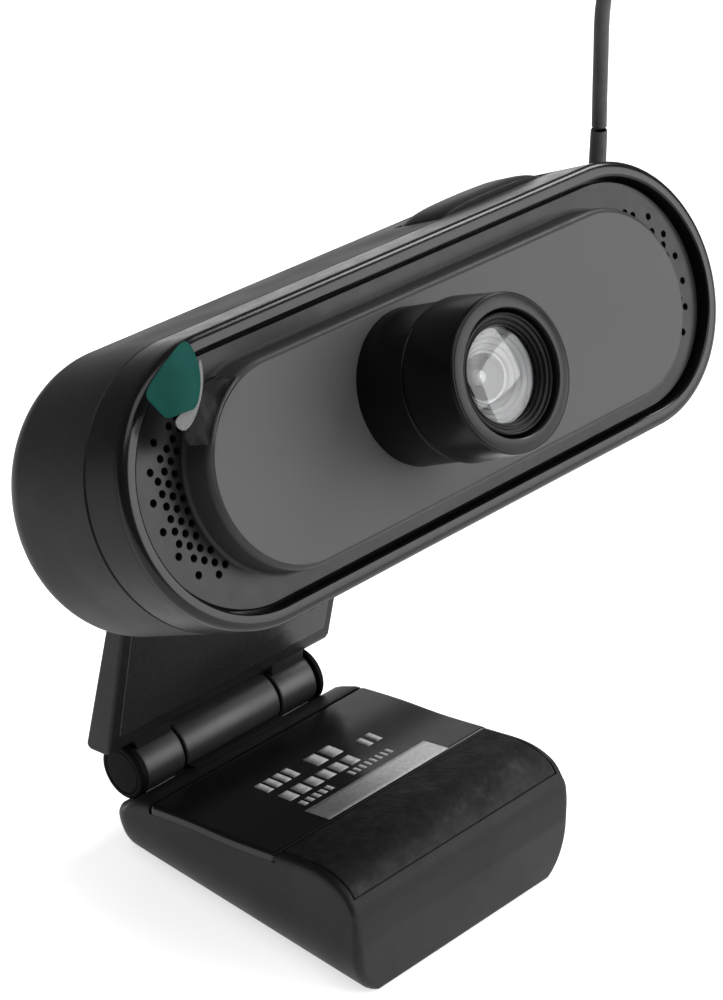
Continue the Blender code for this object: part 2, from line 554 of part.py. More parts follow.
def make_foot_shell():
    """The side outline along x, met by a cross-section whose flanks curve in under the crease."""
    front = [(-51.4, 14.0), (-52.0, 9.6), (-52.0, 1.0), (-51.0, 0.0)]
    lip = [(-6.6, 0.0), (-5.2, 1.9), (-2.6, 2.4), (-0.9, 3.4), (-0.2, 5.0), (-0.4, 6.9)]
    side = [(p.x, p.y) for p in TOP_CURVE] + front + lip + arc((0, HINGE_Z), 5.3, 262, 209, 4)
    shell = slab("foot_shell", side, "x", -FOOT_HALF - 1, FOOT_HALF + 1, FOOT, SATIN_BLACK)
    undercut = FOOT_HALF - FOOT_BOTTOM_HALF
    flank = [(FOOT_BOTTOM_HALF + undercut * math.sin(a), FOOT_CREASE * (1 - math.cos(a)))
             for a in (0, 0.5, 1.0, math.pi / 2)]
    section = flank + [(FOOT_HALF, 25), (-FOOT_HALF, 25)] + [(-x, z) for x, z in reversed(flank)]
    boolean(shell, slab("foot_section", section, "y", -60, 10, FOOT), "INTERSECT")
    add_foot_knuckle(shell)
    cover = band(COVER_BACK + GAP, COVER_FRONT - GAP, 4, COVER_THICKNESS + GAP)
    boolean(shell, slab("foot_cover_recess", cover, "x", -FOOT_HALF + 1.1, FOOT_HALF - 1.1, FOOT))
    pad = band(PAD_BACK + GAP, PAD_FRONT - GAP / 2, 1, PAD_THICKNESS + GAP)
    reach = FOOT_HALF - PAD_INSET + GAP
    boolean(shell, slab("pad_recess", pad, "x", -reach, reach, FOOT))
    boolean(shell, box("weight_room", (-15.4, 15.4), (-33.5, -13.5), (3.2, 12.5), FOOT))
    boolean(shell, rods("foot_screw_seats", FOOT_SCREWS, SEAT_RADIUS, "z", -1, 1.9, FOOT))
    boolean(shell, rods("foot_screw_bores", FOOT_SCREWS, SCREW_RADIUS + GAP, "z", -1, 5, FOOT))


def add_foot_knuckle(shell):
    """The middle hinge knuckle with its web and bore."""
    hinge, middle = (0, HINGE_Z), KNUCKLE_SPLIT - 0.15
    web = [(-12, 11.6), (-12, 6.0), (-2, 5.6), (0, 8.6), (0, 13.2), (-3.6, 13.0)]
    knuckle = rods("foot_knuckle", [hinge], KNUCKLE_RADIUS, "x", -middle, middle, FOOT, sides=ROUND)
    boolean(shell, knuckle, "UNION")
    boolean(shell, slab("foot_web", web, "x", -middle + 0.1, middle - 0.1, FOOT), "UNION")
    boolean(shell, rods("foot_bore", [hinge], PIN_RADIUS + GAP, "x", -20, 20, FOOT))


def make_foot_fittings():
    inside = FOOT_HALF - 1.4
    cover = slab("foot_cover", band(COVER_BACK, COVER_FRONT, 0, COVER_THICKNESS), "x", -inside, inside,
                 FOOT, GLOSS_BLACK)
    boolean(cover, slab("label_recess", band(-12.2, -34.4, 1, 0.5), "x", -15.3, 15.3, FOOT))
    slab("foot_label", band(-12.5, -34.1, 0, 0.2), "x", -15, 15, FOOT, LABEL_WHITE)
    reach = FOOT_HALF - PAD_INSET
    slab("foot_pad", band(PAD_BACK, PAD_FRONT, 0, PAD_THICKNESS), "x", -reach, reach, FOOT, RUBBER)
    weight = box("foot_weight", (-15.1, 15.1), (-33.2, -13.8), (3.5, 10.6), FOOT, STEEL)
    boolean(weight, rods("weight_bores", FOOT_SCREWS, SCREW_RADIUS + GAP, "z", 3, 8.6, FOOT))
    screw = [(0, 7.8), (SCREW_RADIUS, 7.8), (SCREW_RADIUS, 1.6), (SCREW_HEAD_RADIUS, 1.6),
             (SCREW_HEAD_RADIUS, 0.5), (0, 0.5)]
    for number, (x, y) in enumerate(FOOT_SCREWS, 1):
        turned(f"foot_screw_{number}", screw, FOOT, STEEL, steps=SMALL_ROUND, place=(x, y, 0),
               towards_front=False)


def make_cord():
    """Strain relief, free stretch, tied coil, the tail that leaves the coil, and the plug."""
    boot = [(0, BOOT_TIP), (1.35, BOOT_TIP), (1.5, 97.0), (1.7, 92.5), (1.7, 86.6), (2.4, 86.6),
            (2.4, 85.0), (0, 85.0)]
    turned("strain_relief", boot, DESK, RUBBER, steps=SMALL_ROUND,
           place=(BOOT_X, HINGE_Y + BOOT_BEHIND, 0), towards_front=False)
    tube("cable_run", evenly_spaced(smooth_curve(ROUTE, 8), 5.0 * CABLE_RADIUS), DESK, CABLE_BLACK)
    half, corner, top = BUNDLE / 2, 2.2, BUNDLE_BOTTOM + BUNDLE
    outer, inner = COIL_RADIUS + half, COIL_RADIUS - half
    section = [(outer - corner, top), (outer, top - corner), (outer, BUNDLE_BOTTOM + corner),
               (outer - corner, BUNDLE_BOTTOM), (inner + corner, BUNDLE_BOTTOM),
               (inner, BUNDLE_BOTTOM + corner), (inner, top - corner), (inner + corner, top)]
    turned("cable_coil", section, DESK, CABLE_BLACK, ring=True, place=(COIL_X, COIL_Y, 0),
           towards_front=False)
    make_tie(half, top)
    plug_y = COIL_Y - COIL_RADIUS
    tail = [(COIL_X + 9.2, plug_y - 3.1, 2.4), (COIL_X + 13.0, plug_y - 1.6, 3.1),
            (PLUG_BACK - 1, plug_y, PLUG_MIDDLE)]
    tube("cable_tail", tail, DESK, CABLE_BLACK)
    make_plug(plug_y)


def make_tie(half, top):
    """The strap round the bundle, on the coil's far side."""
    low, high = COIL_X + COIL_RADIUS - half, COIL_X + COIL_RADIUS + half
    tie = box("cable_tie", (low - 0.9, high + 0.9), (COIL_Y - 2.5, COIL_Y + 2.5), (0.05, top + 0.9), DESK,
              RUBBER)
    hole = box("tie_hole", (low - 0.4, high + 0.4), (COIL_Y - 4, COIL_Y + 4),
               (BUNDLE_BOTTOM - 0.3, top + 0.3), DESK)
    boolean(tie, hole)


def make_plug(plug_y):
    """The grip and the metal shell, which is open over its contact tongue."""
    box("usb_grip", (PLUG_BACK, PLUG_BACK + GRIP_LENGTH), (plug_y - 7, plug_y + 7), (0.1, 7.7), DESK,
        SATIN_BLACK, bevel=1.2)
    back = PLUG_BACK + GRIP_LENGTH + GAP
    shell = box("usb_shell", (back, back + SHELL_LENGTH), (plug_y - 6, plug_y + 6),
                (PLUG_MIDDLE - 2.25, PLUG_MIDDLE + 2.25), DESK, STEEL)
    mouth = box("usb_mouth", (back + 2.5, back + 15), (plug_y - 5.6, plug_y + 5.6),
                (PLUG_MIDDLE - 0.1, PLUG_MIDDLE + 1.85), DESK)
    boolean(shell, mouth)


def make_webcam():
    posts = make_bezel()
    make_front_plate()
    make_film()
    make_lens()
    make_optics_mount()
    make_board()
    make_rear_shell(posts)
    make_button()
    make_tilt_bracket()
    make_neck()
    make_foot_shell()
    make_foot_fittings()
    make_cord()


make_webcam()
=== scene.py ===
"""Looks of the webcam on its folding foot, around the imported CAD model.

Places in the frame are in metres, and the pieces' own sizes in millimetres. The head's pieces are drawn from
the centre of its rim's front plane (x to the side, y into the depth, z up the face) and then turned to their
place. The neck and foot are drawn from the point on the desk under the middle of the hinge barrel.
"""

import json
import math

import bmesh
import bpy
from mathutils import Matrix, Vector


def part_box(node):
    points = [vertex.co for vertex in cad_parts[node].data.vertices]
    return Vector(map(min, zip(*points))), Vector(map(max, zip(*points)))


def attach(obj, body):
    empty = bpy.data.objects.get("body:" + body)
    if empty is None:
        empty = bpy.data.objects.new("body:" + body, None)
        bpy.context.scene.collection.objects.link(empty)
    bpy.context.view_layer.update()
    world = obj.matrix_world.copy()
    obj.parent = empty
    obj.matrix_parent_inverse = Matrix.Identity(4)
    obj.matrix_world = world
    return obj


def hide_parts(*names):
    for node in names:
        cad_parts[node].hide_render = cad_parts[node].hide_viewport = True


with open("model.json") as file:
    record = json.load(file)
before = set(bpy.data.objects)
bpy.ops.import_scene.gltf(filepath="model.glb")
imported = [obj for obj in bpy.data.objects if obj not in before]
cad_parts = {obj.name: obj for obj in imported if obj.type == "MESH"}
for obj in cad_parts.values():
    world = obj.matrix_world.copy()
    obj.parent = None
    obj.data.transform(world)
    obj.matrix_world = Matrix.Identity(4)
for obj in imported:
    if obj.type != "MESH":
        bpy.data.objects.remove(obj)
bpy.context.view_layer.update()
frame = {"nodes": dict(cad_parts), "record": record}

MM = 0.001


def centre_of(node):
    low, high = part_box(node)
    return (Vector(low) + Vector(high)) / 2


# The hinge's place is read from the CAD model; the head's tilt and place repeat the values it was built with.
HINGE = centre_of("hinge_pin")
TILT = math.radians(25.45)
HEAD_PLACE = Matrix.Translation((0, HINGE.y - 0.0464, 0.0872)) @ Matrix.Rotation(-TILT, 4, "X")
STAND_PLACE = Matrix.Translation((0, HINGE.y, 0))
LENS_X, LENS_Z = -0.0082, 0.0019
LENS_PLACE = HEAD_PLACE @ Matrix.Translation((LENS_X, 0, LENS_Z))

# Head sizes, in millimetres.
SIDE = 36.2  # from the middle to the centre of an end's arc
END_RADIUS = 18.8
BEZEL_DEPTH, HEAD_DEPTH = 7.5, 27.0
MOUTH_RADIUS = 16.6
PLATE_RADIUS, PLATE_FRONT = 16.2, 1.65
PANEL_SIDE, PANEL_RADIUS, PANEL_FRONT = 30.55, 13.55, -3.1
SMOOTH = 128  # points round a stadium or a circle


def link(made, body, *nodes, slot=None):
    """Puts a finished piece on its body, in the place of the CAD nodes that it stands for."""
    if made.name not in bpy.context.scene.collection.objects:
        bpy.context.scene.collection.objects.link(made)
    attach(made, body)
    if nodes:
        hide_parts(*nodes)
    return made


# ---------------------------------------------------------------- camera

# Fitted to the photograph: focal length in millimetres, heading, pitch and roll in degrees, place in metres.
FOCAL_LENGTH = 103.78
CAMERA_TURN = (-45.934, 60.472, 0.2157)
CAMERA_X, CAMERA_AHEAD, CAMERA_Z = -0.2475, 0.2703, 0.2584


def make_camera():
    data = bpy.data.cameras.new("camera")
    data.sensor_fit = "VERTICAL"
    data.sensor_height = data.sensor_width = 36.0
    data.lens = FOCAL_LENGTH
    data.clip_start, data.clip_end = 0.01, 20.0
    camera = bpy.data.objects.new("camera", data)
    bpy.context.scene.collection.objects.link(camera)
    heading, pitch, roll = (math.radians(angle) for angle in CAMERA_TURN)
    turn = Matrix.Rotation(heading, 4, "Z") @ Matrix.Rotation(pitch, 4, "X") @ Matrix.Rotation(roll, 4, "Z")
    camera.matrix_world = Matrix.Translation((CAMERA_X, HINGE.y - CAMERA_AHEAD, CAMERA_Z)) @ turn
    bpy.context.scene.camera = camera


# ---------------------------------------------------------------- materials

class Look:
    """A Principled material and the few nodes that vary it over the surface."""

    def __init__(self, name, colour, roughness, metallic=0.0, **sockets):
        self.material = bpy.data.materials.new(name)
        self.material.use_nodes = True
        self.tree = self.material.node_tree
        self.shader = self.tree.nodes["Principled BSDF"]
        self.shader.inputs["Base Color"].default_value = (*colour, 1)
        self.shader.inputs["Roughness"].default_value = roughness
        self.shader.inputs["Metallic"].default_value = metallic
        for socket, value in sockets.items():
            self.shader.inputs[socket.replace("_", " ")].default_value = value
        self.place = self.tree.nodes.new("ShaderNodeTexCoord").outputs["Object"]
        self.height = None

    def noise(self, scale, detail=3.0, stretch=(1, 1, 1)):
        mapping = self.tree.nodes.new("ShaderNodeMapping")
        mapping.inputs["Scale"].default_value = stretch
        noise = self.tree.nodes.new("ShaderNodeTexNoise")
        noise.inputs["Scale"].default_value = scale
        noise.inputs["Detail"].default_value = detail
        self.tree.links.new(self.place, mapping.inputs["Vector"])
        self.tree.links.new(mapping.outputs["Vector"], noise.inputs["Vector"])
        return noise.outputs["Fac"]

    def ramp(self, value, *stops):
        """Colours or numbers along a value: each stop is (position, grey or colour)."""
        node = self.tree.nodes.new("ShaderNodeValToRGB")
        while len(node.color_ramp.elements) < len(stops):
            node.color_ramp.elements.new(0.5)
        for element, (position, colour) in zip(node.color_ramp.elements, stops):
            element.position = position
            element.color = (*colour, 1) if isinstance(colour, tuple) else (colour, colour, colour, 1)
        self.tree.links.new(value, node.inputs["Fac"])
        return node.outputs["Color"]

    def vary(self, socket, value, *stops):
        self.tree.links.new(self.ramp(value, *stops), self.shader.inputs[socket])
        return self

    def bump(self, value, distance, strength=1.0):
        """Relief of that height in metres, on top of any relief given before."""
        node = self.tree.nodes.new("ShaderNodeBump")
        node.inputs["Strength"].default_value = strength
        node.inputs["Distance"].default_value = distance
        self.tree.links.new(value, node.inputs["Height"])
        if self.height:
            self.tree.links.new(self.height, node.inputs["Normal"])
        self.height = node.outputs["Normal"]
        self.tree.links.new(self.height, self.shader.inputs["Normal"])
        return self


def gloss_plastic(name, grey, roughness, shine=0.3):
    """Moulded gloss plastic: a faint long waviness, fine dust and wiping marks in its gloss."""
    look = Look(name, (grey, grey, grey * 1.03), roughness, Specular_IOR_Level=shine)
    look.vary("Roughness", look.noise(420, 6), (0.35, roughness * 0.92), (0.65, roughness * 1.12),
              (0.8, roughness * 1.3))
    look.vary("Base Color", look.noise(60, 4), (0.3, (grey * 0.85,) * 3), (0.75, (grey * 1.2,) * 3))
    return look.bump(look.noise(170, 2), 0.000008, 0.3).material


def satin_plastic(name, grey, roughness, grain=2600, shine=0.16):
    """Spark-eroded plastic: a fine even grain and slightly uneven sheen."""
    look = Look(name, (grey, grey, grey * 1.02), roughness, Specular_IOR_Level=shine)
    look.vary("Roughness", look.noise(90, 5), (0.3, roughness * 0.9), (0.7, roughness * 1.12))
    look.vary("Base Color", look.noise(700, 5), (0.35, (grey * 0.88,) * 3), (0.7, (grey * 1.14,) * 3))
    return look.bump(look.noise(grain, 3), 0.00004, 0.35).material


def rubber(name, grey):
    """Moulded rubber with a pebbled surface and pale dust in its hollows."""
    look = Look(name, (grey, grey, grey), 0.62, Specular_IOR_Level=0.2)
    pebbles = look.tree.nodes.new("ShaderNodeTexVoronoi")
    pebbles.inputs["Scale"].default_value = 1100
    look.tree.links.new(look.place, pebbles.inputs["Vector"])
    look.vary("Base Color", look.noise(480, 6), (0.42, (grey * 0.75,) * 3), (0.6, (grey * 1.25,) * 3),
              (0.72, (grey * 2.1,) * 3))
    look.vary("Roughness", look.noise(300, 4), (0.3, 0.5), (0.7, 0.75))
    look.bump(pebbles.outputs["Distance"], 0.0001, 0.55)
    return look.bump(look.noise(900, 4), 0.00006, 0.4).material


def metal(name, colour, roughness):
    """Plated or turned metal with uneven gloss."""
    look = Look(name, colour, roughness, 1.0)
    look.vary("Roughness", look.noise(900, 4), (0.3, roughness * 0.8), (0.7, roughness * 1.3))
    return look.bump(look.noise(1500, 3), 0.00001, 0.3).material


def creased_film(name):
    """Crumpled film over the dark recess: nearly black, with pale streaks where its creases catch light."""
    look = Look(name, (0.01, 0.01, 0.01), 0.25, Specular_IOR_Level=0.03)
    look.vary("Base Color", look.noise(190, 3, (1, 1, 0.35)), (0.5, 0.006), (0.6, 0.02), (0.68, 0.13))
    look.vary("Roughness", look.noise(300, 3), (0.3, 0.18), (0.7, 0.35))
    return look.bump(look.noise(150, 2, (1, 1, 0.4)), 0.0006, 0.6).material


def clear_plastic(name, grey, alpha, roughness, wrinkle, shine):
    """Partly see-through film, with relief of the given height in metres."""
    look = Look(name, (grey, grey, grey), roughness, Alpha=alpha, Specular_IOR_Level=shine)
    look.vary("Roughness", look.noise(120, 4), (0.3, roughness * 0.94), (0.7, roughness * 1.06))
    look.material.surface_render_method = "BLENDED"
    return look.bump(look.noise(140, 1), wrinkle, 0.5).material


# ---------------------------------------------------------------- mesh helpers

def outline(radius, side=0.0, count=SMOOTH):
    """Points of a stadium, or of a circle where side is 0, in millimetres."""
    angles = [2 * math.pi * (i + 0.5) / count for i in range(count)]
    return [(radius * math.cos(a) + math.copysign(side, math.cos(a)), radius * math.sin(a)) for a in angles]


def corner(centre, radius, start, end, steps=6):
    """Profile points along a quarter round or part of one: (radius, depth) pairs, in millimetres."""
    angles = [math.radians(start + (end - start) * i / steps) for i in range(steps + 1)]
    return [(centre[0] + radius * math.cos(a), centre[1] + radius * math.sin(a)) for a in angles]


def object_from(name, shape, place, look, sharp=35.0):
    """An object made from a bmesh, with smooth shading except at edges sharper than that angle in degrees."""
    bmesh.ops.recalc_face_normals(shape, faces=shape.faces[:])
    mesh = bpy.data.meshes.new(name)
    shape.to_mesh(mesh)
    shape.free()
    mesh.materials.append(look)
    mesh.shade_smooth()
    mesh.set_sharp_from_angle(angle=math.radians(sharp))
    made = bpy.data.objects.new(name, mesh)
    made.matrix_world = place
    bpy.context.scene.collection.objects.link(made)
    return made


def swept(name, profile, place, look, side=0.0, closed=False, count=SMOOTH, sharp=35.0):
    """A profile of (end radius, depth) points carried round a stadium or a circle, in millimetres.

    A closed profile makes a ring. An open one is capped at both ends where it stops short of the axis.
    """
    shape = bmesh.new()
    rings = []
    for radius, depth in profile:
        rings.append([shape.verts.new((x * MM, depth * MM, z * MM)) for x, z in outline(radius, side, count)])
    pairs = list(zip(rings, rings[1:])) + ([(rings[-1], rings[0])] if closed else [])
    for one, two in pairs:
        for i in range(count):
            shape.faces.new((one[i], one[(i + 1) % count], two[(i + 1) % count], two[i]))
    if not closed:
        shape.faces.new(rings[0])
        shape.faces.new(rings[-1])
    return object_from(name, shape, place, look, sharp)


def drill(target, centres, radius, low, high, place):
    """Cuts round holes along the depth, from low to high, and applies the cut."""
    shape = bmesh.new()
    turn = Matrix.Rotation(math.pi / 2, 4, "X")
    for x, z in centres:
        middle = Matrix.Translation((x * MM, (low + high) / 2 * MM, z * MM)) @ turn
        bmesh.ops.create_cone(shape, cap_ends=True, segments=28, radius1=radius * MM, radius2=radius * MM,
                              depth=(high - low) * MM, matrix=middle)
    cut(target, object_from("drill", shape, place, target.data.materials[0]))


def cut(target, tool):
    """Takes the tool's shape away from the target at once, and removes the tool."""
    step = target.modifiers.new("cut", "BOOLEAN")
    step.operation = "DIFFERENCE"
    step.solver = "EXACT"
    step.object = tool
    graph = bpy.context.evaluated_depsgraph_get()
    made = bpy.data.meshes.new_from_object(target.evaluated_get(graph))
    target.modifiers.clear()
    target.data = made
    made.set_sharp_from_angle(angle=math.radians(30))
    bpy.data.objects.remove(tool)


def slab(name, points, low, high, place, look, bevel=0.0):
    """A side outline of (y, z) points from x = low to x = high, in millimetres, with its edges rounded."""
    shape = bmesh.new()
    left = [shape.verts.new((low * MM, y * MM, z * MM)) for y, z in points]
    right = [shape.verts.new((high * MM, y * MM, z * MM)) for y, z in points]
    for i in range(len(points)):
        j = (i + 1) % len(points)
        shape.faces.new((left[i], left[j], right[j], right[i]))
    shape.faces.new(left)
    shape.faces.new(right)
    made = object_from(name, shape, place, look)
    if bevel:
        round_edges(made, bevel)
    return made


def round_edges(made, width, segments=3, angle=35.0):
    """A bevel of that width in millimetres on every edge sharper than the angle."""
    step = made.modifiers.new("round", "BEVEL")
    step.width = width * MM
    step.segments = segments
    step.limit_method = "ANGLE"
    step.angle_limit = math.radians(angle)
    step.harden_normals = True
    step.use_clamp_overlap = True


def smooth_curve(points, steps):
    """Points of a Catmull-Rom curve through the given points."""
    knots = [Vector(p) for p in (points[0], *points, points[-1])]
    found = []
    for before, start, end, after in zip(knots, knots[1:], knots[2:], knots[3:]):
        for i in range(steps):
            t = i / steps
            square = 2 * before - 5 * start + 4 * end - after
            cube = 3 * start - before - 3 * end + after
            found.append(0.5 * (2 * start + (end - before) * t + square * t * t + cube * t * t * t))
    return found + [knots[-1]]


# ---------------------------------------------------------------- cord

CABLE_RADIUS = 1.1
# The free stretch, from its exit to just above the coil, in millimetres of the frame.
ROUTE = ((49.0, 2.35, 103.8), (49.0, 2.6, 113.0), (49.6, 3.0, 123.0), (53.2, 3.0, 136.0), (61.5, 2.6, 145.5),
         (73.0, 1.8, 147.0), (84.5, 0.6, 138.5), (92.5, -1.0, 120.0), (97.0, -1.6, 95.0), (100.2, -0.6, 66.0),
         (102.4, 1.4, 38.0), (102.9, 2.3, 24.5))
LANDING = ((101.6, 0.4, 15.0), (99.6, -2.9, 10.0))
TAIL = ((118.0, -30.3, 2.1), (124.0, -28.6, 3.1), (129.4, -27.0, 3.9))
COIL = Vector((112.0, -14.0, 0.0))
COIL_RADIUS, PITCH, COLUMNS = 13.0, 2.2, 4
FIRST_ANGLE, LAST_ANGLE, TURNS = 150.0, 270.0, 15
LOWEST_TURN = 1.9
POINT_STEP, SHIFT = 6.0, 15.0  # degrees between points, and over which a turn moves to its next place


def coil_cells():
    """(radius, height) of each turn, from the top layer down; the layers run inwards and outwards in turn."""
    cells = []
    for layer in range(COLUMNS):
        radii = [COIL_RADIUS + PITCH * (column - (COLUMNS - 1) / 2) for column in range(COLUMNS)]
        height = LOWEST_TURN + PITCH * (COLUMNS - 1 - layer)
        cells += [(radius, height) for radius in (radii if layer % 2 else reversed(radii))]
    return cells


def coil_points():
    """The turns lie in a square bundle, and each moves over to the next one's place at its end."""
    cells = coil_cells()
    share = (LAST_ANGLE - FIRST_ANGLE + 360.0 * TURNS) / len(cells)
    count = round(share * len(cells) / POINT_STEP)
    points = []
    for i in range(count + 1):
        travelled = i * share * len(cells) / count
        turn = min(int(travelled / share), len(cells) - 1)
        moved = (travelled - turn * share - (share - SHIFT)) / SHIFT
        part = max(0.0, moved) if turn < len(cells) - 1 else 0.0
        part = part * part * (3 - 2 * part)
        here, there = cells[turn], cells[min(turn + 1, len(cells) - 1)]
        radius = here[0] + (there[0] - here[0]) * part
        angle = math.radians(FIRST_ANGLE + travelled)
        height = here[1] + (there[1] - here[1]) * part
        points.append(COIL + Vector((radius * math.cos(angle), radius * math.sin(angle), height)))
    return points


def make_cord(look):
    """The whole cord as one curve: free stretch, coil and tail."""
    turns = coil_points()
    approach = smooth_curve([*ROUTE, *LANDING, turns[0]], 4)
    line = approach[:-1] + turns + smooth_curve([turns[-1], *TAIL], 4)[1:]
    curve = bpy.data.curves.new("usb_cable", "CURVE")
    curve.dimensions = "3D"
    curve.bevel_depth = CABLE_RADIUS * MM
    curve.bevel_resolution = 5
    curve.use_fill_caps = True
    spline = curve.splines.new("POLY")
    spline.points.add(len(line) - 1)
    spline.use_smooth = True
    for point, place in zip(spline.points, line):
        point.co = (*(place * MM), 1)
    curve.materials.append(look)
    cable = bpy.data.objects.new("usb_cable", curve)
    made = link(cable, "head", "cable_run", "cable_coil", "cable_tail", slot="cable_pvc")


def make_cable_sleeve(look):
    """Low moulded sleeve that stands round the cable where it leaves the head."""
    low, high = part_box("strain_relief")
    length = (high[2] - low[2]) / MM
    x, y, _ = ROUTE[0]
    foot = Matrix.Translation((x * MM, y * MM, low[2])) @ Matrix.Rotation(math.pi / 2, 4, "X")
    profile = [(1.12, 0.4), (1.85, 0.4), (1.85, 3.0), *corner((2.15, 3.0), 0.8, 180, 130, 4), (1.36, 4.6),
               (1.2, length - 0.4), (1.12, length - 0.2)]
    sleeve = swept("cable_sleeve", profile, foot, look, closed=True, count=48)
    link(sleeve, "head", "strain_relief", slot="rubber")


# ---------------------------------------------------------------- head

def make_bezel(look, shaded_side_look):
    """Side band and rim: rounded outer edge, flat rim, and the ledge behind it that the plate sits on."""
    outer, edge, lip = END_RADIUS, 1.1, 0.35
    ledge_radius, ledge_front, ledge_back, wall_radius = 13.8, 3.6, 5.1, 16.8
    profile = [(outer, BEZEL_DEPTH), (outer, 2.2), *corner((outer - edge, edge), edge, 0, -90, 8),
               (MOUTH_RADIUS + lip, 0.0), *corner((MOUTH_RADIUS + lip, lip), lip, -90, -180, 5),
               (MOUTH_RADIUS, ledge_front), (ledge_radius, ledge_front), (ledge_radius, ledge_back),
               (wall_radius, ledge_back), (wall_radius, BEZEL_DEPTH)]
    made = swept("front_bezel_rim", profile, HEAD_PLACE, look, SIDE, closed=True)
    # The side band's faces, picked by which way they face, get the second material, a darker and duller copy
    # of the gloss black: painted shade.
    made.data.materials.append(shaded_side_look)
    for face in made.data.polygons:
        face.material_index = int(abs(face.normal.y) < 0.4 and face.center.y > 1.0 * MM)
    link(made, "head", "front_bezel", slot="gloss_black")


def mic_holes():
    """Close-set staggered holes beside the raised panel's end, and an outer arc of six wider-set ones."""
    pitch, arc_radius, arc_step = 1.6, 13.5, 15.7
    right = []
    for column in range(9):
        for row in range(-6, 7):
            x = SIDE + 2.0 + column * pitch * math.sqrt(3) / 2
            z = (row + 0.5 * (column % 2)) * pitch
            if math.hypot(x - SIDE, z) < 12.4 and math.hypot(x - PANEL_SIDE, z) > PANEL_RADIUS + 1.0:
                right.append((x, z))
    for step in range(6):
        angle = math.radians(arc_step * (step - 2.5))
        right.append((SIDE + arc_radius * math.cos(angle), arc_radius * math.sin(angle)))
    return right + [(-x, z) for x, z in right]


def make_plate(look, panel_look, film_look, dark):
    """Recessed plate, the raised centre panel with a fillet at its foot and a rounded edge, and its film."""
    floor = swept("plate_floor", [(PLATE_RADIUS, PLATE_FRONT + 1.2), (PLATE_RADIUS, PLATE_FRONT + 0.25),
                                  (PLATE_RADIUS - 0.25, PLATE_FRONT), (7.0, PLATE_FRONT),
                                  (7.0, PLATE_FRONT + 1.2)], HEAD_PLACE, look, SIDE, closed=True)
    drill(floor, mic_holes(), 0.52, PLATE_FRONT - 1, PLATE_FRONT + 2, HEAD_PLACE)
    link(floor, "head", "front_plate", slot="gloss_black")
    foot, edge = 0.5, 0.9
    profile = [(PANEL_RADIUS + foot, PLATE_FRONT + 0.05),
               *corner((PANEL_RADIUS + foot, PLATE_FRONT - foot), foot, 90, 180, 8),
               *corner((PANEL_RADIUS - edge, PANEL_FRONT + edge), edge, 0, -90, 8),
               (PANEL_RADIUS - 2.6, PANEL_FRONT), (PANEL_RADIUS - 2.6, PLATE_FRONT + 0.9)]
    link(swept("raised_panel", profile, HEAD_PLACE, panel_look, PANEL_SIDE), "head", slot="gloss_black")
    cloth = [(PLATE_RADIUS - 0.3, PLATE_FRONT + 1.5), (PLATE_RADIUS - 0.3, PLATE_FRONT + 1.4)]
    link(swept("mic_grille_cloth", cloth, HEAD_PLACE, dark, SIDE), "head")
    reach = PANEL_RADIUS - 0.75
    film = swept("panel_film", [(reach, PANEL_FRONT - 0.02), (reach - 0.05, PANEL_FRONT - 0.14),
                                (reach - 0.2, PANEL_FRONT - 0.16), (reach - 0.3, PANEL_FRONT - 0.16),
                                (reach - 0.5, PANEL_FRONT - 0.16)], HEAD_PLACE, film_look, PANEL_SIDE)
    link(film, "head", "protective_film", slot="clear_film")


def make_lens(gloss, face_look, satin, glass, pale, dark):
    """Collar, focus ring and what is inside them, as (radius, depth) profiles round the lens axis."""
    collar = [(10.55, PANEL_FRONT), *corner((10.55, PANEL_FRONT - 0.35), 0.35, 90, 180, 4), (10.2, -11.5),
              *corner((9.9, -11.5), 0.3, 0, -90, 4), (8.7, -11.8), (8.7, -5.4), (7.8, -5.4),
              (7.8, PANEL_FRONT)]
    tube = swept("lens_collar_tube", collar, LENS_PLACE, gloss, closed=True)
    link(tube, "head", "lens_collar", slot="gloss_black")
    make_focus_ring(gloss, face_look)
    make_barrel_optics(satin, glass, pale, dark)


def make_focus_ring(look, face_look):
    grip = [(8.4, -12.4), (10.3, -12.4), *corner((10.3, -12.65), 0.25, 90, 0, 3), (10.1, -20.1),
            *corner((9.65, -20.35), 0.45, 0, -60, 5), (9.5, -20.68), (8.4, -20.68), (7.75, -19.2),
            (7.75, -6.0), (8.4, -6.0)]
    ring = swept("focus_ring_grip", grip, LENS_PLACE, look, closed=True)
    link(ring, "ring", "focus_ring", slot="gloss_black")
    face = [(9.62, -20.6), (9.62, -20.74), (9.54, -20.79), (8.22, -20.79), (8.1, -20.7), (8.05, -20.3),
            (8.3, -20.3), (8.45, -20.6)]
    link(swept("focus_ring_face", face, LENS_PLACE, face_look, closed=True), "ring", slot="gloss_black")


def dome(radius, edge, crown, power, degrees):
    """Points of a domed face from its edge to near its middle, for the angles given in degrees."""
    angles = [math.radians(a) for a in degrees]
    return [(radius * math.sin(a), edge - crown * math.cos(a) ** power) for a in angles]


